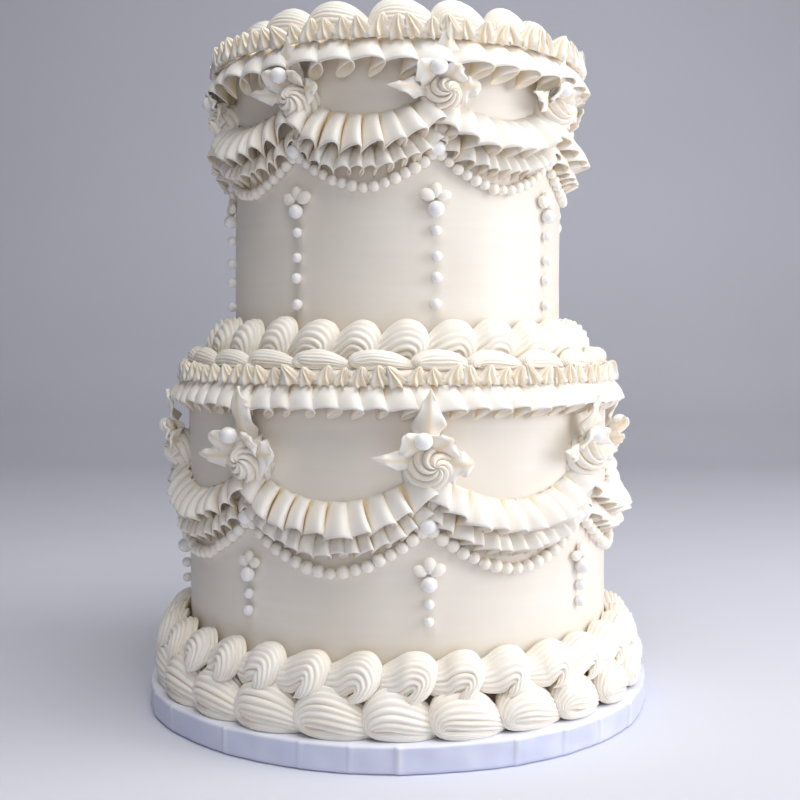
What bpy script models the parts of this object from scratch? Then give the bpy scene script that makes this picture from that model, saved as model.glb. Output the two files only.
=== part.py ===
"""A two-tiered wedding cake in piped buttercream on its wrapped cake drum.

The drum and the two iced tiers are turned solids. Each border of piping is one closed band round
its tier, whose outline swells and shrinks once for every shell, scroll, star or pleat. Each tier
carries eight ruffled swags, and a rosette with its leaves covers each place where two swags meet.

Units are metres. The origin is at the centre of the drum's underside, and +Z is up. An angle of 0
faces -Y, and angles grow towards +X.
"""

import math

import bmesh
import bpy
import numpy as np

# Clear space between one body and the next.
GAP = 0.0003

# The drum, a ten inch board half an inch thick.
BOARD_RADIUS = 0.127
BOARD_HEIGHT = 0.0122
BOARD_EDGE = 0.0014
BOARD_SIDES = 60

# The tiers, an eight inch and a six inch cake under their icing.
LOWER_RADIUS = 0.105
LOWER_TOP = 0.167
LOWER_SIDES = 64
UPPER_RADIUS = 0.0815
UPPER_TOP = 0.312
UPPER_SIDES = 56
TIER_EDGE = 0.0025
TIER_EDGE_SHARE = 0.3

# Counts of the piped pieces in each border.
BASE_SHELLS = 25
BASE_SCROLLS = 32
LEDGE_SCROLLS = 27
LEDGE_SHELLS = 25
TOP_SHELLS = 16
LOWER_STARS = 86
LOWER_PLEATS = 66
UPPER_STARS = 72
UPPER_PLEATS = 38

# How full a piped piece is at evenly spaced places along it, from its head to its tail.
SHELL_SWELL = (0.90, 1.0, 0.70)
SCROLL_SWELL = (0.84, 1.0, 0.74)
DOME_SWELL = (1.0, 0.72)
STAR_SWELL = (1.0, 0.62)
PLEAT_SWELL = (1.0, 0.72)
TOP_SHELL_SWELL = (0.80, 1.0, 0.96, 0.70)

# Where the borders stand: heights above the drum's underside (the first one above the drum's
# top), the radius of the ring of top shells, and of the wall behind the ledge shells.
SCROLL_FOOT = 0.0150
TOP_SHELL_CIRCLE = 0.0700
LEDGE_SHELL_WALL = 0.0975
LOWER_RUFFLE_FOOT = 0.1485
LOWER_STAR_FOOT = 0.1608
UPPER_RUFFLE_FOOT = 0.2945
UPPER_STAR_FOOT = 0.3093

# Outlines of the borders, as steps out from the wall and up from the foot.
BASE_SHELL_OUTLINE = ((0.0135, 0.0), (0.0192, 0.0065), (0.0182, 0.0150), (0.0118, 0.0208))
BASE_SCROLL_OUTLINE = ((0.0122, 0.0068), (0.0142, 0.0135), (0.0078, 0.0195))
LEDGE_SCROLL_OUTLINE = ((0.0152, 0.0), (0.0146, 0.0120), (0.0072, 0.0215))
LEDGE_SHELL_OUTLINE = ((0.0068, 0.0), (0.0058, 0.0052), (0.0022, 0.0072))
LOWER_RUFFLE_OUTLINE = ((0.0090, 0.0),)
UPPER_RUFFLE_OUTLINE = ((0.0142, 0.0), (0.0060, 0.0140))
LOWER_STAR_OUTLINE = ((0.0036, 0.0030), (0.0014, 0.0092))
UPPER_STAR_OUTLINE = ((0.0112, 0.0036), (0.0060, 0.0098))
TOP_SHELL_OUTLINE = ((0.0088, 0.0), (0.0098, 0.0080), (0.0010, 0.0165), (-0.0098, 0.0080))

# Where each border touches its wall, as heights above its foot: at its foot, and at its top
# unless it runs to an edge there.
BASE_SHELL_TOUCH = (0.0, 0.0145)
SCROLL_TOUCH = (0.0, 0.0150)
LOWER_RUFFLE_TOUCH = (0.0040, 0.0118)
UPPER_RUFFLE_TOUCH = (0.0040,)
FOOT_TOUCH = (0.0,)

# The swags and rosettes of each tier.
SWAGS = 8
LOWER_TURN = 6.9
UPPER_TURN = 12.0
SWAG_REACH = 20.8
SWAG_STEPS = 8
SWAG_PLEAT = 0.80
SWAG_SLIM = 0.45
HEM_RISE = 0.0015
LIP_RISE = 0.0008
LIP_UNDERCUT = 0.75
TOP_REACH = 0.30
TOP_DROP = 0.0010
ROSETTE_SIDES = 8
ROSETTE_CLEARANCE = 0.0016
# Each ring of a rosette: its share of the radius, and of the depth out of the wall.
ROSETTE_RINGS = ((0.80, 0.0), (1.0, 0.42), (0.62, 0.94))
ROSETTE_EYE_RISE = 0.1
# Heights are given at the middle of a swag and at its ends. Each leaf is a corner of the rosette
# (0 is the one above), how far its tip reaches, and how far the tip stands out of the wall.
LOWER_DRAPES = {
    "top": (0.1120, 0.1250),
    "lip": (0.0992, 0.1115),
    "hem": (0.0880, 0.1040),
    "lip_out": 0.0112,
    "hem_out": 0.0075,
    "rosette_height": 0.1250,
    "rosette_radius": 0.0108,
    "rosette_depth": 0.0135,
    "leaves": ((0, 0.0185, 0.0150), (6, 0.0150, 0.0110), (2, 0.0135, 0.0100)),
}
UPPER_DRAPES = {
    "top": (0.2770, 0.2850),
    "lip": (0.2597, 0.2690),
    "hem": (0.2503, 0.2630),
    "lip_out": 0.0135,
    "hem_out": 0.0085,
    "rosette_height": 0.2835,
    "rosette_radius": 0.0093,
    "rosette_depth": 0.0145,
    "leaves": ((0, 0.0104, 0.0150), (6, 0.0130, 0.0125), (2, 0.0118, 0.0110)),
}

BUTTERCREAM = (0.88, 0.83, 0.74, 1.0)
PALE_PAPER = (0.74, 0.76, 0.86, 1.0)


def clear_scene():
    for thing in list(bpy.data.objects):
        bpy.data.objects.remove(thing, do_unlink=True)


def make_material(name, colour, roughness):
    material = bpy.data.materials.new(name)
    material.use_nodes = True
    shader = material.node_tree.nodes["Principled BSDF"]
    shader.inputs["Base Color"].default_value = colour
    shader.inputs["Roughness"].default_value = roughness
    shader.inputs["Metallic"].default_value = 0.0
    return material


def add_object(name, mesh, material, smooth_under=50.0):
    mesh.materials.append(material)
    mesh.shade_smooth()
    mesh.set_sharp_from_angle(angle=math.radians(smooth_under))
    made = bpy.data.objects.new(name, mesh)
    cake.objects.link(made)
    return made


def turned(name, profile, sides, material):
    """A solid of revolution: the profile runs down its outer side, from the axis to the axis."""
    mesh = bpy.data.meshes.new(name)
    points = [(radius, 0.0, height) for radius, height in profile]
    mesh.from_pydata(points, [(i, i + 1) for i in range(len(points) - 1)], [])
    made = add_object(name, mesh, material, 30.0)
    screw = made.modifiers.new("Turn", "SCREW")
    screw.steps = sides
    screw.render_steps = sides
    screw.use_merge_vertices = True
    screw.merge_threshold = 0.00001
    return made


def drum():
    edge = BOARD_EDGE
    profile = (
        (0.0, BOARD_HEIGHT),
        (BOARD_RADIUS - edge, BOARD_HEIGHT),
        (BOARD_RADIUS, BOARD_HEIGHT - edge),
        (BOARD_RADIUS, edge),
        (BOARD_RADIUS - edge, 0.0),
        (0.0, 0.0),
    )
    turned("board", profile, BOARD_SIDES, make_material("wrapped board", PALE_PAPER, 0.35))


def tier(name, radius, foot, top, sides):
    profile = (
        (0.0, top),
        (radius - TIER_EDGE, top),
        (radius - TIER_EDGE_SHARE * TIER_EDGE, top - TIER_EDGE_SHARE * TIER_EDGE),
        (radius, top - TIER_EDGE),
        (radius, foot),
        (0.0, foot),
    )
    turned(name, profile, sides, make_material(name + " icing", BUTTERCREAM, 0.45))


def on_circle(radius, height, degrees):
    """Points at the given radii, heights and angles about the cake's axis."""
    angle = np.radians(degrees)
    return np.stack([radius * np.sin(angle), -radius * np.cos(angle), height + 0.0 * angle], -1)


def grid_faces(rows, columns, wrap_rows):
    """Quads of a grid whose columns close on themselves, and whose rows may."""
    faces = []
    for i in range(rows if wrap_rows else rows - 1):
        j = (i + 1) % rows
        for k in range(columns):
            m = (k + 1) % columns
            faces.append((i * columns + k, j * columns + k, j * columns + m, i * columns + m))
    return faces


def add_closed(name, points, faces, material):
    """One closed body from points and faces, with its faces turned outwards."""
    mesh = bpy.data.meshes.new(name)
    mesh.from_pydata([tuple(p) for p in points], [], faces)
    shape = bmesh.new()
    shape.from_mesh(mesh)
    bmesh.ops.triangulate(shape, faces=shape.faces[:], quad_method="SHORT_EDGE")
    bmesh.ops.recalc_face_normals(shape, faces=shape.faces[:])
    shape.to_mesh(mesh)
    shape.free()
    return add_object(name, mesh, material)


def border(name, count, swell, wall, foot, outline, touches):
    """A closed band of alike piped pieces round a wall of the given radius.

    The outline's steps are scaled by each swell in turn, out from the wall and up from the foot.
    `touches` lists the heights above the foot where the band meets the wall: its foot first, then
    its top.
    """
    rows = count * len(swell)
    # The corners stand out so that the flat stretches between them also clear the wall.
    touch = (wall + GAP) / math.cos(math.pi / rows)
    angles = 360.0 * np.arange(rows) / rows
    full = np.tile(np.array(swell), count)
    columns = [on_circle(touch, foot + touches[0], angles)]
    for out, up in outline:
        columns.append(on_circle(touch + full * out, foot + full * up, angles))
    if len(touches) > 1:
        columns.append(on_circle(touch, foot + touches[1], angles))
    points = np.stack(columns, 1).reshape(-1, 3)
    faces = grid_faces(rows, len(columns), True)
    return add_closed(name, points, faces, make_material(name + " buttercream", BUTTERCREAM, 0.5))


def top_shell_border():
    """The ring of big shells that stands free on the top of the cake."""
    rows = TOP_SHELLS * len(TOP_SHELL_SWELL)
    angles = 360.0 * np.arange(rows) / rows
    full = np.tile(np.array(TOP_SHELL_SWELL), TOP_SHELLS)
    foot = UPPER_TOP + GAP
    steps = ((-TOP_SHELL_OUTLINE[0][0], 0.0),) + TOP_SHELL_OUTLINE
    columns = [on_circle(TOP_SHELL_CIRCLE + full * out, foot + full * up, angles) for out, up in steps]
    points = np.stack(columns, 1).reshape(-1, 3)
    faces = grid_faces(rows, len(columns), True)
    add_closed("top_shells", points, faces, make_material("top shells buttercream", BUTTERCREAM, 0.5))


def swag(name, wall, middle, sizes):
    """Two hanging ruffles between two rosettes, lofted along the wall as one body.

    The edges hang in parabolas: each height is given at the middle and at the rosettes. The lips
    stand out and fall back in turn, which makes the pleats. The upper edge keeps clear of the
    rosettes at both ends.
    """
    half = 180.0 / SWAGS
    offset = np.linspace(-SWAG_REACH, SWAG_REACH, SWAG_STEPS + 1)
    hang = (offset / half) ** 2
    top = sizes["top"][0] + (sizes["top"][1] - sizes["top"][0]) * hang
    lip = sizes["lip"][0] + (sizes["lip"][1] - sizes["lip"][0]) * hang
    hem = sizes["hem"][0] + (sizes["hem"][1] - sizes["hem"][0]) * hang
    keep = sizes["rosette_radius"] + ROSETTE_CLEARANCE
    beside = wall * np.radians(half - np.abs(offset))
    below = sizes["rosette_height"] - np.sqrt(np.clip(keep**2 - beside**2, 0.0, None))
    top = np.where(beside < keep, np.minimum(top, below), top)
    pleat = np.where(np.arange(SWAG_STEPS + 1) % 2 == 0, SWAG_PLEAT, 1.0)
    slim = 1.0 - SWAG_SLIM * hang
    touch = (wall + GAP) / math.cos(math.radians(SWAG_REACH / SWAG_STEPS))
    angles = middle + offset
    out_lip = sizes["lip_out"] * pleat * slim
    out_hem = sizes["hem_out"] * pleat * slim
    columns = [
        on_circle(touch, hem + HEM_RISE, angles),
        on_circle(touch + out_hem, hem, angles),
        on_circle(touch + LIP_UNDERCUT * out_hem, lip, angles),
        on_circle(touch + out_lip, lip + LIP_RISE, angles),
        on_circle(touch + TOP_REACH * sizes["lip_out"], top - TOP_DROP, angles),
        on_circle(touch, top, angles),
    ]
    points = np.stack(columns, 1).reshape(-1, 3)
    rows, width = len(angles), len(columns)
    faces = grid_faces(rows, width, False)
    faces.append(tuple(range(width)))
    faces.append(tuple((rows - 1) * width + k for k in range(width)))
    add_closed(name, points, faces, make_material(name + " buttercream", BUTTERCREAM, 0.5))


def rosette(name, wall, middle, sizes):
    """A swirled dome with its leaves: rings of corners about an axis that points out of the wall.

    Some corners of the widest ring are drawn out to the leaves' tips, a tall one above and shorter
    ones at the sides.
    """
    radius = sizes["rosette_radius"]
    depth = sizes["rosette_depth"]
    leaves = sizes["leaves"]
    turn = 2.0 * math.pi * np.arange(ROSETTE_SIDES) / ROSETTE_SIDES
    points = []
    for share, out in ROSETTE_RINGS:
        reach = np.full(ROSETTE_SIDES, share * radius)
        away = np.full(ROSETTE_SIDES, out * depth)
        if share == 1.0:
            for corner, length, lift in leaves:
                reach[corner] = length
                away[corner] = lift
        across = reach * np.sin(turn)
        up = reach * np.cos(turn)
        points.append(np.stack([across, -(wall + GAP + away), sizes["rosette_height"] + up], -1))
    eye_height = sizes["rosette_height"] + ROSETTE_EYE_RISE * radius
    points.append(np.array([[0.0, -(wall + GAP + depth), eye_height]]))
    points = np.concatenate(points)
    faces = [tuple(range(ROSETTE_SIDES))]
    for ring in range(len(ROSETTE_RINGS) - 1):
        first = ring * ROSETTE_SIDES
        for k in range(ROSETTE_SIDES):
            m = (k + 1) % ROSETTE_SIDES
            faces.append((first + k, first + ROSETTE_SIDES + k, first + ROSETTE_SIDES + m, first + m))
    last = (len(ROSETTE_RINGS) - 1) * ROSETTE_SIDES
    eye = len(points) - 1
    for k in range(ROSETTE_SIDES):
        faces.append((last + k, last + (k + 1) % ROSETTE_SIDES, eye))
    angle = math.radians(middle)
    turned_points = points.copy()
    turned_points[:, 0] = points[:, 0] * math.cos(angle) - points[:, 1] * math.sin(angle)
    turned_points[:, 1] = points[:, 0] * math.sin(angle) + points[:, 1] * math.cos(angle)
    add_closed(name, turned_points, faces, make_material(name + " buttercream", BUTTERCREAM, 0.5))


def tier_dressing(label, wall, turn, sizes):
    """The swags of one tier, and the rosette at each place where two of them meet."""
    step = 360.0 / SWAGS
    for k in range(SWAGS):
        swag(f"swag_{label}_{k + 1}", wall, turn + step * (k + 0.5), sizes)
        rosette(f"rosette_{label}_{k + 1}", wall, turn + step * k, sizes)


clear_scene()
cake = bpy.data.collections.new("Tiered wedding cake")
bpy.context.scene.collection.children.link(cake)

drum()
tier("tier_lower", LOWER_RADIUS, BOARD_HEIGHT + GAP, LOWER_TOP, LOWER_SIDES)
tier("tier_upper", UPPER_RADIUS, LOWER_TOP + GAP, UPPER_TOP, UPPER_SIDES)

base = BOARD_HEIGHT + GAP
ledge = LOWER_TOP + GAP
border(
    "base_shells",
    BASE_SHELLS,
    SHELL_SWELL,
    LOWER_RADIUS,
    base,
    BASE_SHELL_OUTLINE,
    BASE_SHELL_TOUCH,
)
border(
    "base_scrolls",
    BASE_SCROLLS,
    SCROLL_SWELL,
    LOWER_RADIUS,
    base + SCROLL_FOOT,
    BASE_SCROLL_OUTLINE,
    SCROLL_TOUCH,
)
border(
    "ledge_scrolls",
    LEDGE_SCROLLS,
    SCROLL_SWELL,
    UPPER_RADIUS,
    ledge,
    LEDGE_SCROLL_OUTLINE,
    SCROLL_TOUCH,
)
border(
    "ledge_shells",
    LEDGE_SHELLS,
    DOME_SWELL,
    LEDGE_SHELL_WALL,
    ledge,
    LEDGE_SHELL_OUTLINE,
    FOOT_TOUCH,
)
border(
    "rim_ruffle_lower",
    LOWER_PLEATS,
    PLEAT_SWELL,
    LOWER_RADIUS,
    LOWER_RUFFLE_FOOT,
    LOWER_RUFFLE_OUTLINE,
    LOWER_RUFFLE_TOUCH,
)
border(
    "rim_stars_lower",
    LOWER_STARS,
    STAR_SWELL,
    LOWER_RADIUS,
    LOWER_STAR_FOOT,
    LOWER_STAR_OUTLINE,
    FOOT_TOUCH,
)
border(
    "rim_ruffle_upper",
    UPPER_PLEATS,
    PLEAT_SWELL,
    UPPER_RADIUS,
    UPPER_RUFFLE_FOOT,
    UPPER_RUFFLE_OUTLINE,
    UPPER_RUFFLE_TOUCH,
)
border(
    "rim_stars_upper",
    UPPER_STARS,
    STAR_SWELL,
    UPPER_RADIUS,
    UPPER_STAR_FOOT,
    UPPER_STAR_OUTLINE,
    FOOT_TOUCH,
)
top_shell_border()

tier_dressing("lower", LOWER_RADIUS, LOWER_TURN, LOWER_DRAPES)
tier_dressing("upper", UPPER_RADIUS, UPPER_TURN, UPPER_DRAPES)
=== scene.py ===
"""The looks of the tiered wedding cake: smooth icing, piped borders, swags, rosettes and pearls.

Piped pieces are worked out flat first, as (along, up, out) in metres: along the wall to the right,
up, and out of the wall. `on_wall` then wraps them round the cake. Angles are in degrees from -Y,
growing towards +X.
"""

import math

import bpy
import numpy as np
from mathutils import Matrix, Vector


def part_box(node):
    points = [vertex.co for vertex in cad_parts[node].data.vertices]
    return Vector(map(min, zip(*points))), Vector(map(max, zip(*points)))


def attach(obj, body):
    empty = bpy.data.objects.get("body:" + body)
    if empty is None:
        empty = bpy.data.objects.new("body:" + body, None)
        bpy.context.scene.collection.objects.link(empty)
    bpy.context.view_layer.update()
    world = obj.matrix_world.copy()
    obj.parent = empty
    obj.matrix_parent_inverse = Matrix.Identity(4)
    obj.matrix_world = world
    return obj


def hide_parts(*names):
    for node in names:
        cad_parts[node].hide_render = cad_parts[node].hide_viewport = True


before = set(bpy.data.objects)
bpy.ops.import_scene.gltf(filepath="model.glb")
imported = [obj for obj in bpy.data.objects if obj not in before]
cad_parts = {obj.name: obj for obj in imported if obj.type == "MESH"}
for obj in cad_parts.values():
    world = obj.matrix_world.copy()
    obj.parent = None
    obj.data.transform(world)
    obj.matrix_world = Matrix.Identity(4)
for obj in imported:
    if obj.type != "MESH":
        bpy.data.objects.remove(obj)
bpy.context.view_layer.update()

chance = np.random.default_rng(20)

MM = 0.001
SWAGS = 8
SWAG_ARC = 360.0 / SWAGS
LOWER_TURN = 6.9
UPPER_TURN = 12.0

WALL_LOWER = float(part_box("tier_lower")[1][0])
WALL_UPPER = float(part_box("tier_upper")[1][0])
BOARD_TOP = float(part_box("board")[1][2])
LEDGE = float(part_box("tier_lower")[1][2])
CROWN = float(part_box("tier_upper")[1][2])

# Where some borders stand: the foot of the reverse shells, and the radii at the backs of the
# ledge shells and of the ring of top shells.
SCROLL_FOOT = BOARD_TOP + 0.0175
LEDGE_SHELL_WALL = WALL_UPPER + 0.0160
TOP_SHELL_WALL = 0.0605
BEAD_SPACING = 1.86
# A ruffle's folds stay this far out of the wall.
LEAST_OUT = 0.0002


# ---------------------------------------------------------------- materials


class Number:
    """A number socket of a material; + - * on it add the matching Math nodes."""

    def __init__(self, graph, socket):
        self.graph = graph
        self.socket = socket

    def math(self, operation, first, second):
        made = self.graph.node("ShaderNodeMath", {"operation": operation}, {0: first, 1: second})
        return Number(self.graph, made.outputs[0])

    def __add__(self, other):
        return self.math("ADD", self, other)

    __radd__ = __add__

    def __sub__(self, other):
        return self.math("SUBTRACT", self, other)

    def __rsub__(self, other):
        return self.math("SUBTRACT", other, self)

    def __mul__(self, other):
        return self.math("MULTIPLY", self, other)

    __rmul__ = __mul__


class Finish:
    """A Principled material that is built up node by node."""

    def __init__(self, name, **constants):
        self.material = bpy.data.materials.new(name)
        self.material.use_nodes = True
        self.nodes = self.material.node_tree.nodes
        self.links = self.material.node_tree.links
        self.shader = self.nodes["Principled BSDF"]
        for socket, value in constants.items():
            self.shader.inputs[socket.replace("_", " ")].default_value = value

    def node(self, kind, settings, inputs):
        made = self.nodes.new(kind)
        for name, value in settings.items():
            setattr(made, name, value)
        for name, value in inputs.items():
            self.feed(made.inputs[name], value)
        return made

    def feed(self, socket, value):
        if isinstance(value, Number):
            value = value.socket
        if isinstance(value, bpy.types.NodeSocket):
            self.links.new(value, socket)
        else:
            socket.default_value = value

    def number(self, made, output=0):
        return Number(self, made.outputs[output])

    def place(self, scale):
        """Object coordinates, stretched by a scale for each axis."""
        spot = self.node("ShaderNodeTexCoord", {}, {})
        return self.node("ShaderNodeMapping", {}, {"Vector": spot.outputs["Object"], "Scale": scale})

    def noise(self, scale, detail, stretch=(1.0, 1.0, 1.0)):
        where = self.place(stretch).outputs[0]
        made = self.node("ShaderNodeTexNoise", {}, {"Vector": where, "Scale": scale, "Detail": detail})
        return self.number(made)

    def blend(self, factor, low, high):
        """A colour between two, by a factor from 0 to 1."""
        made = self.node(
            "ShaderNodeMix",
            {"data_type": "RGBA", "clamp_factor": True},
            {0: factor, 6: low, 7: high},
        )
        return made.outputs[2]

    def spread(self, value, low, high):
        """The value's share of the way from low to high, kept between 0 and 1."""
        made = self.node(
            "ShaderNodeMapRange", {"clamp": True}, {0: value, 1: low, 2: high, 3: 0.0, 4: 1.0}
        )
        return self.number(made)

    def bump(self, height, distance, strength):
        made = self.node(
            "ShaderNodeBump", {}, {"Height": height, "Distance": distance, "Strength": strength}
        )
        self.feed(self.shader.inputs["Normal"], made.outputs[0])


def srgb(red, green, blue):
    """A colour given in 0 to 255 display values, as linear values for a shader."""
    shares = [value / 255.0 for value in (red, green, blue)]
    linear = [s / 12.92 if s <= 0.04045 else ((s + 0.055) / 1.055) ** 2.4 for s in shares]
    return (*linear, 1.0)


def piped_cream():
    """Soft buttercream: painted warm shade down in the grooves, with faint patches and an uneven satin
    sheen.
    """
    made = Finish(
        "piped buttercream", Subsurface_Weight=0.2, Subsurface_Scale=0.003, Specular_IOR_Level=0.35
    )
    made.shader.inputs["Subsurface Radius"].default_value = (1.0, 0.72, 0.45)
    groove = made.number(made.node("ShaderNodeAttribute", {"attribute_name": "crest"}, {}), 2)
    depth = made.spread(groove, 0.0, 0.55)
    patch = made.spread(made.noise(55.0, 2.0), 0.35, 0.65)
    crest = made.blend(patch, srgb(253, 245, 234), srgb(254, 249, 241))
    # Low crest shares, in grooves, hollows and undersides, are painted a warm tan: painted shade.
    made.feed(made.shader.inputs["Base Color"], made.blend(depth, srgb(246, 226, 192), crest))
    made.feed(made.shader.inputs["Roughness"], 0.52 - 0.12 * patch)
    made.bump(made.noise(900.0, 2.0), 0.00004, 0.35)
    return made.material


def smooth_icing():
    """Buttercream drawn smooth with a scraper: faint level streaks and soft patches."""
    made = Finish(
        "smooth icing", Subsurface_Weight=0.10, Subsurface_Scale=0.002, Specular_IOR_Level=0.35
    )
    made.shader.inputs["Subsurface Radius"].default_value = (1.0, 0.72, 0.45)
    patch = made.spread(made.noise(18.0, 3.0), 0.35, 0.65)
    streak = made.spread(made.noise(30.0, 4.0, (0.5, 0.5, 9.0)), 0.3, 0.7)
    tone = made.blend(patch, srgb(240, 232, 221), srgb(245, 239, 230))
    made.feed(made.shader.inputs["Base Color"], made.blend(streak * 0.35, tone, srgb(237, 228, 215)))
    made.feed(made.shader.inputs["Roughness"], 0.40 + 0.14 * streak)
    made.bump(streak + 0.4 * made.noise(260.0, 2.0), 0.00009, 0.30)
    return made.material


def pearl_sugar():
    made = Finish("sugar pearl", Coat_Roughness=0.12, Specular_IOR_Level=0.5)
    patch = made.spread(made.noise(160.0, 2.0), 0.35, 0.65)
    made.feed(
        made.shader.inputs["Base Color"], made.blend(patch, srgb(251, 250, 250), srgb(254, 253, 253))
    )
    made.feed(made.shader.inputs["Roughness"], 0.20 + 0.12 * patch)
    made.feed(made.shader.inputs["Coat Weight"], 0.45 - 0.2 * patch)
    return made.material


def wrapping_paper():
    """Pale blue-white wrapping with a soft sheen and fine crumpling; a painted highlight beside each
    crease and a top painted lighter, as painted light.
    """
    made = Finish("board wrapping", Specular_IOR_Level=0.5)
    patch = made.spread(made.noise(40.0, 3.0), 0.3, 0.7)
    painted_light = made.number(made.node("ShaderNodeAttribute", {"attribute_name": "crest"}, {}), 2)
    tone = made.blend(patch, srgb(206, 211, 236), srgb(220, 224, 244))
    # Paints a highlight line beside each crease and a lighter top: painted light.
    made.feed(made.shader.inputs["Base Color"], made.blend(painted_light, tone, srgb(238, 240, 250)))
    made.feed(made.shader.inputs["Roughness"], 0.30 + 0.18 * patch)
    made.bump(made.noise(140.0, 5.0), 0.0003, 0.25)
    return made.material


def plain(name, colour, roughness):
    made = Finish(name, Roughness=roughness, Specular_IOR_Level=0.2)
    patch = made.spread(made.noise(3.0, 2.0), 0.3, 0.7)
    soft = tuple(0.97 * value for value in colour[:3]) + (1.0,)
    made.feed(made.shader.inputs["Base Color"], made.blend(patch, soft, colour))
    return made.material


# ---------------------------------------------------------------- surfaces


class Piece:
    """Closed grids joined into one mesh, each point with its share from groove (0) to crest (1); the
    cream paints low shares warmer as painted shade, the paper paints high ones lighter as painted light.
    """

    def __init__(self, name):
        self.name = name
        self.points = []
        self.faces = []
        self.crests = []
        self.count = 0

    def add(self, points, crest, ring=False):
        """Adds a tube of rows: every row closes on itself. The ends are closed, or meet in a ring."""
        rows, columns = points.shape[:2]
        row = np.arange(rows if ring else rows - 1)[:, None]
        column = np.arange(columns)[None, :]
        here = row * columns + column
        along = ((row + 1) % rows) * columns + column
        across = row * columns + (column + 1) % columns
        opposite = ((row + 1) % rows) * columns + (column + 1) % columns
        faces = [
            np.stack([here, across, opposite], -1).reshape(-1, 3),
            np.stack([here, opposite, along], -1).reshape(-1, 3),
        ]
        flat = points.reshape(-1, 3)
        shares = np.broadcast_to(crest, (rows, columns)).reshape(-1)
        if not ring:
            size = rows * columns
            first = np.arange(columns)
            after = (first + 1) % columns
            last = size - columns
            faces.append(np.stack([after, first, np.full(columns, size)], -1))
            faces.append(np.stack([last + first, last + after, np.full(columns, size + 1)], -1))
            flat = np.vstack([flat, points[0].mean(0), points[-1].mean(0)])
            shares = np.append(shares, [shares[:columns].mean(), shares[last:].mean()])
        faces = np.vstack(faces)
        corners = flat[faces]
        volume = np.einsum("ij,ij->", corners[:, 0], np.cross(corners[:, 1], corners[:, 2]))
        self.faces.append((faces if volume > 0 else faces[:, ::-1]) + self.count)
        self.points.append(flat)
        self.crests.append(shares)
        self.count += len(flat)

    def finish(self, material, nodes):
        mesh = bpy.data.meshes.new(self.name)
        mesh.from_pydata(np.vstack(self.points), [], np.vstack(self.faces))
        shares = mesh.attributes.new("crest", "FLOAT", "POINT")
        shares.data.foreach_set("value", np.concatenate(self.crests).astype(np.float32))
        mesh.materials.append(material)
        mesh.shade_smooth()
        made = bpy.data.objects.new(self.name, mesh)
        bpy.context.scene.collection.objects.link(made)
        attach(made, "root")
        if nodes:
            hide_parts(*nodes)
        return made


def on_wall(points, wall, degrees, gauge):
    """Wraps (along, up, out) round a wall; lengths along it are true at the gauge radius."""
    angle = math.radians(degrees) + points[..., 0] / gauge
    radius = wall + points[..., 2]
    return np.stack([radius * np.sin(angle), -radius * np.cos(angle), points[..., 1]], -1)


def smooth_curve(knots, count):
    """A Catmull-Rom curve: each knot's slope is half the step between its neighbours."""
    knots = np.asarray(knots, float)
    padded = np.vstack([2 * knots[0] - knots[1], knots, 2 * knots[-1] - knots[-2]])
    place = np.linspace(0.0, len(knots) - 1.0, count)
    index = np.minimum(place.astype(int), len(knots) - 2)
    f = (place - index)[:, None]
    a, b, c, d = (padded[index + k] for k in range(4))
    return 0.5 * (
        2 * b + (c - a) * f + (2 * a - 5 * b + 4 * c - d) * f**2 + (3 * b - a - 3 * c + d) * f**3
    )


def unit(vectors):
    return vectors / np.maximum(np.linalg.norm(vectors, axis=-1, keepdims=True), 1e-9)


def wave(size, steps, reach, ring=False):
    """A smooth random line: random values at whole places, eased between them.

    A ring's line ends on the value that it starts with.
    """
    values = chance.uniform(-reach, reach, size + 1)
    if ring:
        values[-1] = values[0]
    whole = np.clip(np.floor(steps).astype(int), 0, size - 1)
    ease = 0.5 - 0.5 * np.cos(math.pi * (steps - whole))
    return values[whole] * (1.0 - ease) + values[whole + 1] * ease


def strand(knots, rows, ridges, depth):
    """A ridged strand of icing between two edges.

    Each knot holds the outer edge (along, up, out), the inner edge (along, up, out) and how far
    the strand bulges between them. At a place t the section is a half ellipse: half the way from
    edge to edge times cos a, and the bulge times sin a, both shrunk by depth * (1 - crest), where
    crest = |sin(ridges * a)|^0.6 with the ridges spaced a little unevenly. The back is a flatter
    half ellipse.
    """
    curve = smooth_curve(knots, rows) * MM
    outer, inner, bulge = curve[:, 0:3], curve[:, 3:6], np.maximum(curve[:, 6], 0.0)
    middle = 0.5 * (outer + inner)
    half = 0.5 * (outer - inner)
    tangent = unit(np.gradient(outer, axis=0) + 0.3 * np.gradient(middle, axis=0))
    rise = unit(np.cross(tangent, half))
    rise = np.where(rise[:, 2:3] < 0.0, -rise, rise)
    front = np.linspace(0.0, math.pi, 5 * ridges + 1)
    back = np.linspace(math.pi, 2.0 * math.pi, 9)[1:-1]
    angle = np.append(front, back)
    uneven = front + 0.035 * np.sin(3.0 * front + chance.uniform(0.0, 6.0))
    crest = np.append(np.abs(np.sin(ridges * uneven)) ** 0.6, np.zeros(len(back)))
    lift = np.append(np.sin(front), 0.35 * np.sin(back))
    fade = np.sin(np.linspace(0.0, math.pi, rows)) ** 0.4
    shrink = 1.0 - depth * fade[:, None] * (1.0 - crest[None, :])
    points = (
        middle[:, None, :]
        + shrink[..., None] * np.cos(angle)[None, :, None] * half[:, None, :]
        + (shrink * lift[None, :] * bulge[:, None])[..., None] * rise[:, None, :]
    )
    # The colour share also falls towards both edges of the strand and is nought on its back: painted
    # shade there.
    shares = crest * np.append(0.30 + 0.70 * np.sin(front) ** 0.7, np.zeros(len(back)))
    return points, np.broadcast_to(shares, points.shape[:2])


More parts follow.
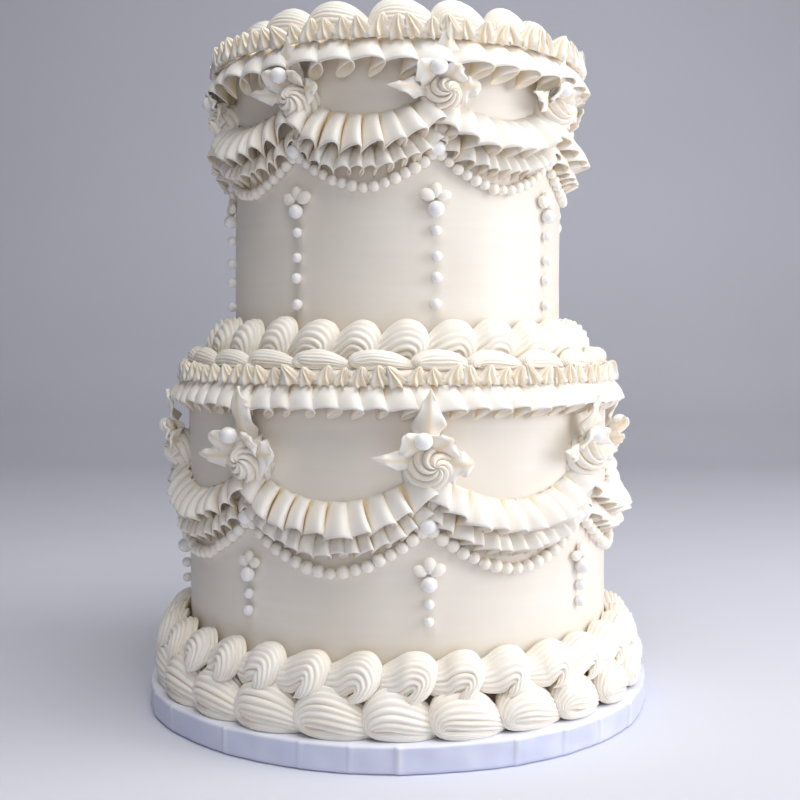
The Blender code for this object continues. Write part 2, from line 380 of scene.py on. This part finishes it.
# Big shell: from its tail over the top to the rounded head on the left, and back along the foot.
SHELL_KNOTS = (
    (20.0, 1.5, 6.0, 19.0, 0.5, 9.0, 0.4),
    (13.5, 9.5, 4.0, 14.0, 0.4, 12.5, 4.4),
    (5.5, 17.0, 2.5, 6.0, 0.8, 14.6, 7.8),
    (-3.5, 21.2, 2.2, -3.0, 1.8, 15.4, 9.2),
    (-11.5, 17.8, 4.0, -7.6, 3.0, 15.6, 8.2),
    (-15.6, 9.4, 7.5, -9.0, 4.0, 15.6, 5.8),
    (-12.6, 1.6, 12.0, -7.2, 4.8, 15.2, 4.0),
    (-3.0, -0.4, 14.5, 0.0, 4.8, 15.4, 2.6),
    (8.0, -0.4, 13.6, 9.0, 3.6, 14.4, 1.9),
    (18.0, 0.2, 9.0, 17.5, 1.6, 10.4, 0.3),
)
# Reverse shell: from its wide tail on the left over the head, curling down to a point.
CURL_KNOTS = (
    (-21.0, 9.0, 2.0, -19.0, 2.0, 7.0, 0.8),
    (-14.5, 10.6, 1.2, -12.0, -0.6, 10.0, 5.0),
    (-8.0, 13.4, 0.5, -6.4, -1.6, 11.4, 6.8),
    (-1.4, 16.6, 0.3, -3.6, 0.2, 12.2, 7.8),
    (5.4, 16.4, 1.4, -1.6, 1.6, 12.8, 7.6),
    (9.6, 11.4, 4.0, -2.4, 1.6, 13.6, 6.6),
    (9.0, 5.2, 7.4, -3.0, 0.8, 14.0, 5.4),
    (4.6, 0.2, 10.4, -3.6, -0.4, 14.0, 3.6),
    (-2.0, -2.4, 12.4, -5.0, -2.2, 13.4, 0.4),
)
# Scroll: from its low tail on the left up over a wide arch and straight down to the ledge.
SCROLL_KNOTS = (
    (-19.5, 6.0, 2.5, -17.0, -1.2, 7.0, 0.8),
    (-13.0, 10.5, 1.6, -10.5, -1.8, 9.0, 5.0),
    (-6.6, 17.4, 1.0, -5.4, -0.8, 10.2, 7.0),
    (0.8, 21.4, 0.8, -2.4, 2.0, 10.8, 8.0),
    (7.6, 19.8, 1.6, -0.4, 3.0, 11.2, 7.8),
    (11.2, 13.4, 3.4, 0.2, 2.4, 11.4, 6.6),
    (10.6, 6.0, 6.0, -0.6, 0.8, 11.6, 5.4),
    (8.0, -0.6, 8.6, -2.2, -1.4, 11.8, 4.4),
)


def varied(knots, scale, spread=0.05):
    """The knots at another size, each copy a little its own shape."""
    made = np.array(knots, float)
    made[:, [0, 3]] *= scale[0] * (1.0 + chance.uniform(-spread, spread))
    made[:, [1, 4]] *= scale[1] * (1.0 + chance.uniform(-spread, spread))
    made[:, [2, 5, 6]] *= scale[2] * (1.0 + chance.uniform(-spread, spread))
    made += chance.normal(0.0, 0.22, made.shape)
    return made


def strand_border(name, node, count, knots, scale, rows, ridges, depth, wall, foot, start):
    """Alike strands round a wall, one after the other with small differences."""
    piece = Piece(name)
    step = 360.0 / count
    low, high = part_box(node)
    gauge = wall + 0.6 * (float(high[0]) - wall)
    for k in range(count):
        points, crest = strand(varied(knots, scale), rows, ridges, depth)
        points[..., 1] += foot
        turn = start + step * (k + chance.uniform(-0.04, 0.04))
        piece.add(on_wall(points, wall, turn, gauge), crest)
    return piece.finish(CREAM, [node])


def star_drop(height, radius, lobes, lean):
    """A piped star: sharp ridges round an axis, drawn to a tip that leans to one side.

    At a share t of the height the reach is radius * (1 - t)^0.62 * (1 - 0.5 * hollow), where the
    hollow between two ridges is |sin(lobes * angle / 2)|^0.7.
    """
    t = np.linspace(0.0, 0.99, 10)[:, None]
    angle = np.linspace(0.0, 2.0 * math.pi, 6 * lobes, endpoint=False)[None, :]
    hollow = np.abs(np.sin(0.5 * lobes * angle)) ** 0.7
    swell = (1.0 - t) ** 0.62 * (0.86 + 0.14 * np.sin(math.pi * np.minimum(2.2 * t, 1.0)))
    reach = radius * swell * (1.0 - 0.50 * hollow)
    twist = angle + 0.7 * t + chance.uniform(0.0, 1.0)
    along = reach * np.cos(twist) + lean * height * t**2
    across = reach * np.sin(twist)
    up = height * t + 0.0 * angle
    # The colour share, one minus the hollow, is low between the ridges: painted shade there.
    return np.stack([along, across, up], -1), np.broadcast_to(1.0 - hollow, along.shape)


def star_border(name, node, count, wall, tilt, base_up, base_out, height, radius):
    """Star drops side by side, their axes tilted out of the vertical."""
    piece = Piece(name)
    step = 360.0 / count
    for k in range(count):
        size = 1.0 + chance.uniform(-0.10, 0.10)
        shape, crest = star_drop(height * size, radius * size, 7, chance.uniform(-0.55, 0.35))
        angle = math.radians(tilt + chance.uniform(-8.0, 8.0))
        along = shape[..., 0]
        up = shape[..., 2] * math.cos(angle) - shape[..., 1] * math.sin(angle)
        out = shape[..., 2] * math.sin(angle) + shape[..., 1] * math.cos(angle)
        points = np.stack([along, base_up + up, base_out + out], -1)
        turn = step * (k + chance.uniform(-0.10, 0.10))
        piece.add(on_wall(points, wall, turn, wall + base_out), crest)
    return piece.finish(CREAM, [node])


def ruffle(course, pleats, sizes, ring=False, fine=18, levels=10):
    """A ribbon of icing, fixed along its upper edge and folded in pleats at its free edge.

    course(x) gives the upper edge at a share x of its length, as (along, up). From the fixed edge
    (w = 0) to the free one (w = 1), with p counting the pleats round, the ribbon falls by
    fall * w * (1 - cut * w * cos p), stands out by
    stand * (1 - (1 - w)^2.6) + fold * grow * cos p, and sways along the edge by
    sway * grow * sin(p + lean), where grow = root + (1 - root) * w^0.8. Each size may change along
    the ribbon, and every pleat has its own.
    """
    steps = pleats * fine + (0 if ring else 1)
    phase = np.arange(steps) / fine
    share = (phase + wave(pleats, phase, 0.16, True) * np.minimum(1.0, pleats - phase)) / pleats
    size = 1.0 + wave(pleats, phase, sizes["uneven"], ring)
    lean = sizes["tilt"] + wave(pleats, phase, sizes["lean"], ring)
    slim = sizes["slim"](share)
    fall = sizes["fall"] * slim * (1.0 + wave(pleats, phase, 0.07, ring))
    w = np.linspace(0.0, 1.0, levels)[None, :]
    p = (2.0 * math.pi * phase)[:, None]
    grow = sizes["root"] + (1.0 - sizes["root"]) * w**0.8
    edge = course(share)
    tangent = unit(course(share + 0.002) - edge)
    down = np.stack([tangent[:, 1], -tangent[:, 0]], -1)
    side = sizes["sway"] * size[:, None] * grow * np.sin(p + lean[:, None])
    drop = fall[:, None] * w * (1.0 - sizes["cut"] * w * np.cos(p))
    flat = (
        edge[:, None, :]
        + side[..., None] * tangent[:, None, :]
        + drop[..., None] * down[:, None, :]
    )
    stand = (sizes["stand"] * slim)[:, None] * (1.0 - (1.0 - w) ** 2.6)
    fold = (sizes["fold"] * slim * size)[:, None] * grow * np.cos(p)
    out = np.maximum(stand + fold, LEAST_OUT)
    front = np.concatenate([flat, out[..., None]], -1)
    run = np.gradient(front, axis=0)
    if ring:
        run[0] = run[1]
        run[-1] = run[-2]
    normal = unit(np.cross(run, np.gradient(front, axis=1)))
    facing = np.sign(normal[..., 2].mean())
    back = front - facing * normal * (sizes["thick"] * (1.0 - 0.5 * w))[..., None]
    points = np.concatenate([front, back[:, ::-1]], 1)
    # Colour share: low where the pleats fold back towards the wall, and 0.3 on the ribbon's back:
    # painted shade there.
    crest = np.clip(0.45 + 0.75 * np.cos(p), 0.0, 1.0) * np.ones_like(w)
    return points, np.concatenate([crest, np.full_like(crest, 0.3)], 1)


def rim_ruffle(name, node, pleats, wall, lift):
    """The pleated ruffle round a rim, raised by lift above the top of its node's box."""
    low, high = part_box(node)
    top, foot = float(high[2]) + lift, float(low[2]) + 0.6 * lift
    reach = float(high[0]) - wall
    gauge = wall + 0.75 * reach
    length = 2.0 * math.pi * gauge
    sizes = {
        "fall": 1.06 * (top - foot),
        "stand": 0.58 * reach,
        "fold": 0.42 * reach,
        "sway": 0.56 * length / pleats,
        "root": 0.22,
        "cut": 0.20,
        "lean": 0.15,
        "tilt": 0.62,
        "uneven": 0.12,
        "thick": 0.0013,
        "slim": np.ones_like,
    }

    def course(share):
        return np.stack([share * length, np.full_like(share, top)], -1)

    points, crest = ruffle(course, pleats, sizes, ring=True)
    piece = Piece(name)
    piece.add(on_wall(points, wall, 180.0, gauge), crest, ring=True)
    return piece.finish(CREAM, [node])


def swag_ruffle(piece, wall, middle, top, fall, reach, pleats, thick):
    """One hanging ruffle: its upper edge is a parabola, lower at the middle than at the ends."""
    gauge = wall + 0.7 * reach
    half = math.radians(0.5 * SWAG_ARC) * gauge
    sizes = {
        "fall": fall,
        "stand": 0.54 * reach,
        "fold": 0.45 * reach,
        "sway": 0.54 * 2.12 * half / pleats,
        "root": 0.26,
        "cut": 0.17,
        "lean": 0.35,
        "tilt": 0.80,
        "uneven": 0.26,
        "thick": thick,
        "slim": lambda share: 1.0 - 0.40 * (2.0 * share - 1.0) ** 4,
    }

    def course(share):
        x = 2.0 * share - 1.0
        return np.stack([x * half, top[0] + (top[1] - top[0]) * x**2], -1)

    points, crest = ruffle(course, pleats, sizes)
    piece.add(on_wall(points, wall, middle, gauge), crest)


def swags(name, label, wall, turn, main, second):
    """All the swags of one tier: the upper ruffle of each over the lower one."""
    for part, sizes in (("over", main), ("under", second)):
        piece = Piece(f"{name}_{part}")
        for k in range(SWAGS):
            middle = turn + SWAG_ARC * (k + 0.5)
            swag_ruffle(piece, wall, middle, **sizes)
        nodes = [f"swag_{label}_{k + 1}" for k in range(SWAGS)]
        piece.finish(CREAM, nodes)


def swirl(radius, depth):
    """A swirled rosette: a dome whose seven ridges wind in to an eye a little off its middle.

    At a share q of the way in from the rim the ridges have turned by 3.4 * q^0.7 radians and the dome
    stands depth * (1 - (1 - q)^2.1) high; between ridges it sinks by up to a third.
    """
    ridges, fine = 7, 8
    q = np.linspace(0.0, 0.97, 26)[:, None]
    angle = np.linspace(0.0, 2.0 * math.pi, ridges * fine, endpoint=False)[None, :]
    crest = np.abs(np.cos(0.5 * ridges * angle)) ** 0.7
    fade = 1.0 - 0.6 * q**3
    reach = radius * (1.0 - q) * (1.0 - 0.14 * (1.0 - crest) * fade)
    spin = angle + 3.4 * q**0.7
    eye = 0.14 * radius * q
    along = eye + reach * np.cos(spin)
    up = 0.5 * eye + reach * np.sin(spin)
    out = depth * (1.0 - (1.0 - q) ** 2.1) * (1.0 - 0.30 * (1.0 - crest) * fade) - 0.12 * depth * q**5
    points = np.stack([along, up, out], -1)
    foot = points[:1] * (0.94, 0.94, 1.0) + (0.0, 0.0, -0.25 * depth)
    # The colour share is low between the ridges and lower still on the foot: painted shade there.
    shares = np.broadcast_to(crest, along.shape)
    return np.concatenate([foot, points]), np.concatenate([shares[:1] * 0.2, shares])


def leaf(length, width, heading, rise, curl, ruffles, tip, thick=0.0016):
    """A leaf of icing with a ridge along its middle and ruffled edges that fall back from it.

    At a share u of its length it is about width * sin(pi * u^0.6)^tip wide. It heads off at an
    angle from straight up, climbs out of the wall by rise, and curls back by curl. Its edges lie
    0.35 of the half width further back than its ridge, and wave to and fro ruffles times.
    """
    u = np.linspace(0.0, 1.0, 26)[:, None]
    v = np.linspace(-1.0, 1.0, 11)[None, :]
    # Just short of pi, so that the sine stays above nought at the tip.
    swell = np.sin(3.14 * u**0.6) ** tip
    half = 0.5 * width * (0.10 * (1.0 - u) + 0.90 * swell + 0.03)
    fold = np.sin(2.0 * math.pi * ruffles * u + 1.2 * np.sign(v)) * v**2
    across = half * (v + 0.16 * fold)
    ahead = length * u * (1.0 - 0.06 * v**2 * np.cos(2.0 * math.pi * ruffles * u))
    out = rise * np.sin(0.5 * math.pi * u) ** 0.8 - curl * u**3
    out = out + half * (0.36 * fold - 0.35 * np.abs(v) ** 1.2)
    turn = math.radians(heading)
    along = ahead * math.sin(turn) + across * math.cos(turn)
    up = ahead * math.cos(turn) - across * math.sin(turn)
    front = np.stack([along, up, out], -1)
    back = front - np.array([0.0, 0.0, 1.0]) * (thick * (1.2 - 0.7 * np.abs(v) + 0.0 * u))[..., None]
    shares = np.clip(0.1 + np.abs(v) * 1.3 + 0.0 * u, 0.0, 1.0)
    return np.concatenate([front, back[:, ::-1]], 1), np.concatenate([shares, shares], 1)


def ball(radius, squash=1.0, segments=12, rings=7):
    """A ball: radius * sin b across, radius * squash * cos b out."""
    b = np.linspace(0.0, math.pi, rings + 2)[1:-1, None]
    angle = np.linspace(0.0, 2.0 * math.pi, segments, endpoint=False)[None, :]
    along = radius * np.sin(b) * np.cos(angle)
    up = radius * np.sin(b) * np.sin(angle)
    out = -radius * squash * np.cos(b) + 0.0 * angle
    return np.stack([along, up, out], -1)


def pearl_ball(radius):
    return ball(radius, segments=16, rings=9)


LEAVES = (
    # length, width, heading, rise, curl, ruffles and tip; lengths in shares of the rosette's
    # radius, and rise and curl in shares of its depth
    (2.05, 1.00, 2.0, 0.58, 0.00, 2.2, 1.0),
    (1.45, 0.72, -84.0, 0.60, 0.10, 2.4, 0.9),
    (0.80, 1.00, -40.0, 0.85, 0.05, 1.6, 0.5),
    (1.05, 1.25, 84.0, 0.55, 0.05, 2.4, 0.45),
    (0.75, 1.15, 38.0, 0.80, 0.10, 2.0, 0.5),
)


def rosettes(label, wall, turn, height, radius, depth, pearl):
    """The rosettes of one tier, each with five leaves and a pearl above it."""
    swirls = Piece(f"rosettes_{label}")
    leaves = Piece(f"rosette_leaves_{label}")
    pearls = Piece(f"rosette_pearls_{label}")
    for k in range(SWAGS):
        middle = turn + SWAG_ARC * k + chance.uniform(-0.5, 0.5)
        lift = height + chance.uniform(-0.0012, 0.0012)
        size = 1.0 + chance.uniform(-0.05, 0.05)
        shape, crest = swirl(radius * size, depth)
        shape = shape + (0.0015, lift, 0.0)
        swirls.add(on_wall(shape, wall, middle, wall), crest)
        for length, width, heading, rise, curl, folds, tip in LEAVES:
            grow = radius * (1.0 + chance.uniform(-0.12, 0.12))
            angle = heading + chance.uniform(-8.0, 8.0)
            made, shares = leaf(
                length * grow, width * grow, angle, rise * depth, curl * depth, folds, tip
            )
            start = 0.42 * radius
            made = made + (
                start * math.sin(math.radians(angle)),
                lift + start * math.cos(math.radians(angle)) + 0.20 * radius,
                0.25 * depth,
            )
            leaves.add(on_wall(made, wall, middle, wall), shares)
        bead = pearl_ball(pearl) + (-0.18 * radius, lift + 1.02 * radius, depth * 0.86)
        pearls.add(on_wall(bead, wall, middle, wall), 1.0)
    nodes = [f"rosette_{label}_{k + 1}" for k in range(SWAGS)]
    swirls.finish(CREAM, nodes)
    leaves.finish(CREAM, nodes)
    pearls.finish(PEARL, [])


def bead_chain(label, wall, turn, low, cusp, bead, big):
    """Beads of icing in hanging arcs below the swags, with a larger pearl at each cusp."""
    beads = Piece(f"bead_chain_{label}")
    pearls = Piece(f"cusp_pearls_{label}")
    half = math.radians(0.5 * SWAG_ARC) * wall
    fine = np.linspace(-1.0, 1.0, 400)
    rise = low + (cusp - low) * np.abs(fine) ** 1.8
    length = np.append(0.0, np.cumsum(np.hypot(np.diff(fine * half), np.diff(rise))))
    count = round(length[-1] / (BEAD_SPACING * bead))
    for k in range(SWAGS):
        middle = turn + SWAG_ARC * (k + 0.5)
        spots = np.interp((np.arange(count) + 0.5) / count * length[-1], length, fine)
        for spot in spots:
            size = bead * (1.0 + chance.uniform(-0.09, 0.09))
            up = low + (cusp - low) * abs(spot) ** 1.8 + chance.uniform(-0.0003, 0.0003)
            shape = ball(size, 0.92) + (spot * half, up, 0.55 * bead)
            beads.add(on_wall(shape, wall, middle, wall), 0.9)
        shape = pearl_ball(big) + (-half, cusp + 0.3 * big, 0.8 * big)
        pearls.add(on_wall(shape, wall, middle, wall), 1.0)
    beads.finish(CREAM, [])
    pearls.finish(PEARL, [])


def pendants(label, wall, turn, petal_height, pearl_height, pearl, drops, drop_radius):
    """Under each cusp: three petals, a pearl, and a row of smaller pearls down the wall."""
    petals = Piece(f"pendant_petals_{label}")
    pearls = Piece(f"pendant_pearls_{label}")
    for k in range(SWAGS):
        middle = turn + SWAG_ARC * k + chance.uniform(-0.3, 0.3)
        for heading in (-72.0, 0.0, 66.0):
            size = pearl * (1.0 + chance.uniform(-0.1, 0.1))
            angle = math.radians(heading + chance.uniform(-8.0, 8.0))
            shape = ball(0.78 * size, 0.75)
            shape[..., 1] *= 1.30
            along = shape[..., 0] * math.cos(angle) + shape[..., 1] * math.sin(angle)
            up = shape[..., 1] * math.cos(angle) - shape[..., 0] * math.sin(angle)
            shape = np.stack([along, up, shape[..., 2]], -1) + (
                1.15 * size * math.sin(angle),
                petal_height + 0.95 * size * math.cos(angle),
                0.5 * size,
            )
            petals.add(on_wall(shape, wall, middle, wall), 0.9)
        spots = [(pearl_height, pearl)] + [(drop, drop_radius) for drop in drops]
        for up, radius in spots:
            radius = radius * (1.0 + chance.uniform(-0.07, 0.07))
            shape = pearl_ball(radius) + (chance.uniform(-0.0004, 0.0004), up, 0.72 * radius)
            pearls.add(on_wall(shape, wall, middle, wall), 1.0)
    petals.finish(CREAM, [])
    pearls.finish(PEARL, [])


def revolved(profile, sides, wobble):
    """A turned solid: profile (radius, height) carried round, each radius plus wobble(angle, height)."""
    angle = np.linspace(0.0, 2.0 * math.pi, sides, endpoint=False)[None, :]
    radius = profile[:, 0:1] + 0.0 * angle
    height = profile[:, 1:2] + 0.0 * angle
    radius = radius + wobble(angle, height) * np.minimum(1.0, radius / profile[:, 0].max()) ** 8
    return np.stack([radius * np.sin(angle), -radius * np.cos(angle), height], -1)


def iced_tier(name, node, edge):
    """A smooth tier with a softly rounded rim; its wall drifts by a few tenths of a millimetre."""
    low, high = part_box(node)
    radius, foot, top = float(high[0]), float(low[2]), float(high[2])
    bend = np.radians(np.linspace(90.0, 0.0, 9))
    flat = np.stack([np.linspace(0.02 * radius, radius - edge, 12)[:-1], np.full(11, top)], -1)
    rim = np.stack([radius - edge + edge * np.cos(bend), top - edge + edge * np.sin(bend)], -1)
    wall = np.stack([np.full(60, radius), np.linspace(top - edge, foot, 61)[1:]], -1)
    under = np.array([[0.02 * radius, foot]])
    profile = np.vstack([flat, rim, wall, under])

    def wobble(angle, height):
        soft = np.sin(3.0 * angle + 9.0 * height / 0.1) + 0.6 * np.sin(7.0 * angle - 40.0 * height)
        return 0.00012 * soft - 0.0002

    piece = Piece(name)
    piece.add(revolved(profile, 220, wobble), 1.0)
    return piece.finish(ICING, [node])


def wrapped_board():
    """The drum in its paper: flat stretches between creases, where one fold laps over the next."""
    low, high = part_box("board")
    radius, top = float(high[0]), float(high[2])
    edge = 0.0012
    creases = np.cumsum(chance.choice([7.0, 12.0, 19.0, 27.0], 60) * chance.uniform(0.8, 1.2, 60))
    creases = np.radians(np.append(0.0, creases[creases < 352.0]))
    creases = np.append(creases, 2.0 * math.pi)
    bend = np.radians(np.linspace(90.0, 0.0, 7))
    flat = np.stack([np.linspace(0.02, radius - edge, 16)[:-1], np.full(15, top)], -1)
    rim = np.stack([radius - edge + edge * np.cos(bend), top - edge + edge * np.sin(bend)], -1)
    wall = np.stack([np.full(12, radius), np.linspace(top - edge, edge, 13)[1:]], -1)
    foot = np.stack([radius - edge + edge * np.sin(bend), edge - edge * np.cos(bend[::-1])], -1)
    under = np.array([[radius - edge, 0.0], [0.02, 0.0]])
    profile = np.vstack([flat, rim, wall, under])
    sides = 720
    angle = np.linspace(0.0, 2.0 * math.pi, sides, endpoint=False)
    index = np.clip(np.searchsorted(creases, angle, side="right") - 1, 0, len(creases) - 2)
    start, stop = creases[index], creases[index + 1]
    share = (angle - start) / (stop - start)
    sag = radius * (1.0 - np.cos(0.5 * (stop - start))) * 4.0 * share * (1.0 - share) * 0.30
    fold = 0.0009 * np.exp(-share * 14.0) - 0.0004 * np.exp(-(1.0 - share) * 9.0)

    def wobble(turn, height):
        ripple = 0.00012 * np.sin(23.0 * turn + 500.0 * height) + 0.0001 * np.sin(61.0 * turn)
        slant = np.clip((height - 0.1 * top) / top, 0.0, 1.0)
        return -sag[None, :] + fold[None, :] * (0.4 + 0.6 * slant) + ripple - 0.0007

    points = revolved(profile, sides, wobble)
    # A painted highlight just past each crease (lit) and the top painted lighter (upper): painted light,
    # put into the colour share.
    lit = np.exp(-((share - 0.02) ** 2) / 0.0009)
    upper = np.clip((profile[:, 1] - 0.9 * top) / (0.1 * top), 0.0, 1.0)
    crest = np.clip(0.55 * lit[None, :] + 0.8 * upper[:, None], 0.0, 1.0)
    piece = Piece("wrapped_board")
    piece.add(points, crest)
    return piece.finish(PAPER, ["board"])


# ---------------------------------------------------------------- the cake

CREAM = piped_cream()
ICING = smooth_icing()
PEARL = pearl_sugar()
PAPER = wrapping_paper()

wrapped_board()
iced_tier("icing_lower", "tier_lower", edge=0.0030)
iced_tier("icing_upper", "tier_upper", edge=0.0030)

strand_border(
    "base_shell_border", "base_shells", count=25, knots=SHELL_KNOTS, scale=(1.0, 1.02, 1.0),
    rows=38, ridges=11, depth=0.19, wall=WALL_LOWER, foot=BOARD_TOP, start=0.8,
)
strand_border(
    "base_scroll_border", "base_scrolls", count=32, knots=CURL_KNOTS, scale=(1.0, 0.94, 1.0),
    rows=32, ridges=10, depth=0.20, wall=WALL_LOWER, foot=SCROLL_FOOT, start=3.2,
)
strand_border(
    "ledge_scroll_border", "ledge_scrolls", count=27, knots=SCROLL_KNOTS, scale=(0.98, 1.0, 1.0),
    rows=34, ridges=9, depth=0.20, wall=WALL_UPPER, foot=LEDGE, start=2.0,
)
strand_border(
    "ledge_shell_border", "ledge_shells", count=25, knots=SHELL_KNOTS, scale=(0.86, 0.36, 0.42),
    rows=26, ridges=8, depth=0.18, wall=LEDGE_SHELL_WALL, foot=LEDGE, start=-4.0,
)
strand_border(
    "top_shell_border", "top_shells", count=16, knots=SHELL_KNOTS, scale=(0.95, 0.80, 1.0),
    rows=42, ridges=14, depth=0.09, wall=TOP_SHELL_WALL, foot=CROWN, start=2.0,
)

rim_ruffle("rim_ruffle_lower_piped", "rim_ruffle_lower", pleats=66, wall=WALL_LOWER, lift=0.0008)
rim_ruffle("rim_ruffle_upper_piped", "rim_ruffle_upper", pleats=38, wall=WALL_UPPER, lift=0.0034)
star_border(
    "rim_stars_lower_piped", "rim_stars_lower", count=86, wall=WALL_LOWER, tilt=22.0,
    base_up=0.1612, base_out=0.0006, height=0.0078, radius=0.0061,
)
star_border(
    "rim_stars_upper_piped", "rim_stars_upper", count=72, wall=WALL_UPPER, tilt=26.0,
    base_up=0.3098, base_out=0.0060, height=0.0094, radius=0.0070,
)

# The upper edge of a ruffle is given at the middle of its swag and at the swag's ends.
swags(
    "swags_lower", "lower", WALL_LOWER, LOWER_TURN,
    main={"top": (0.1104, 0.1262), "fall": 0.0150, "reach": 0.0122, "pleats": 11, "thick": 0.0013},
    second={"top": (0.0990, 0.1140), "fall": 0.0118, "reach": 0.0086, "pleats": 15, "thick": 0.0011},
)
swags(
    "swags_upper", "upper", WALL_UPPER, UPPER_TURN,
    main={"top": (0.2778, 0.2885), "fall": 0.0170, "reach": 0.0138, "pleats": 9, "thick": 0.0013},
    second={"top": (0.2640, 0.2755), "fall": 0.0118, "reach": 0.0094, "pleats": 13, "thick": 0.0011},
)
rosettes("lower", WALL_LOWER, LOWER_TURN, height=0.1245, radius=0.0119, depth=0.0135, pearl=0.0038)
rosettes("upper", WALL_UPPER, UPPER_TURN, height=0.2840, radius=0.0106, depth=0.0140, pearl=0.0036)
bead_chain("lower", WALL_LOWER, LOWER_TURN, low=0.0798, cusp=0.1000, bead=0.0029, big=0.0038)
bead_chain("upper", WALL_UPPER, UPPER_TURN, low=0.2462, cusp=0.2618, bead=0.0026, big=0.0036)
pendants(
    "lower", WALL_LOWER, LOWER_TURN, petal_height=0.0800, pearl_height=0.0755, pearl=0.0035,
    drops=(0.0668, 0.0592), drop_radius=0.0024,
)
pendants(
    "upper", WALL_UPPER, UPPER_TURN, petal_height=0.2415, pearl_height=0.2365, pearl=0.0035,
    drops=(0.2272, 0.2160, 0.2068, 0.1950), drop_radius=0.0024,
)


# ---------------------------------------------------------------- stage, light and camera


def stage_floor():
    """A pale floor that bends up into a plain backdrop."""
    depth = np.array([-3.0, 1.0, 1.25, 1.42, 1.5, 1.5])
    height = np.array([0.0, 0.0, 0.04, 0.16, 0.4, 3.0])
    points = [(x, y, z) for y, z in zip(depth, height) for x in (-4.0, 4.0)]
    faces = [(2 * k, 2 * k + 1, 2 * k + 3, 2 * k + 2) for k in range(len(depth) - 1)]
    mesh = bpy.data.meshes.new("floor")
    mesh.from_pydata(points, [], faces)
    mesh.materials.append(plain("pale floor", srgb(224, 225, 236), 0.6))
    mesh.shade_smooth()
    floor = bpy.data.objects.new("floor", mesh)
    bpy.context.scene.collection.objects.link(floor)


def lamp(name, power, size, place, aim):
    light = bpy.data.lights.new(name, "AREA")
    light.energy = power
    light.shape = "RECTANGLE"
    light.size, light.size_y = size
    made = bpy.data.objects.new(name, light)
    made.location = place
    way = np.array(aim) - np.array(place)
    flat = math.hypot(way[0], way[1])
    made.rotation_euler = (math.atan2(flat, -way[2]), 0.0, math.atan2(-way[0], way[1]))
    bpy.context.scene.collection.objects.link(made)


def set_up_view():
    scene = bpy.context.scene
    scene.view_settings.view_transform = "Standard"
    world = bpy.data.worlds.new("room")
    world.use_nodes = True
    world.node_tree.nodes["Background"].inputs["Color"].default_value = (1.0, 1.0, 1.0, 1.0)
    world.node_tree.nodes["Background"].inputs["Strength"].default_value = 0.04
    scene.world = world
    lamp("window", 13.0, (0.8, 1.1), (1.20, -0.27, 0.50), (0.0, 0.0, 0.16))
    lamp("sky", 13.0, (1.0, 1.0), (0.15, -0.42, 1.35), (0.0, 0.0, 0.1))
    lamp("front", 2.9, (1.0, 0.8), (0.0, -1.30, 0.62), (0.0, 0.0, 0.16))
    camera = bpy.data.cameras.new("view")
    camera.lens = 53.37
    camera.sensor_width = 36.0
    camera.shift_x = 0.0031
    made = bpy.data.objects.new("view", camera)
    made.location = (0.0, -0.605, 0.1843)
    made.rotation_euler = (math.radians(86.55), 0.0, 0.0)
    scene.collection.objects.link(made)
    scene.camera = made


stage_floor()
set_up_view()
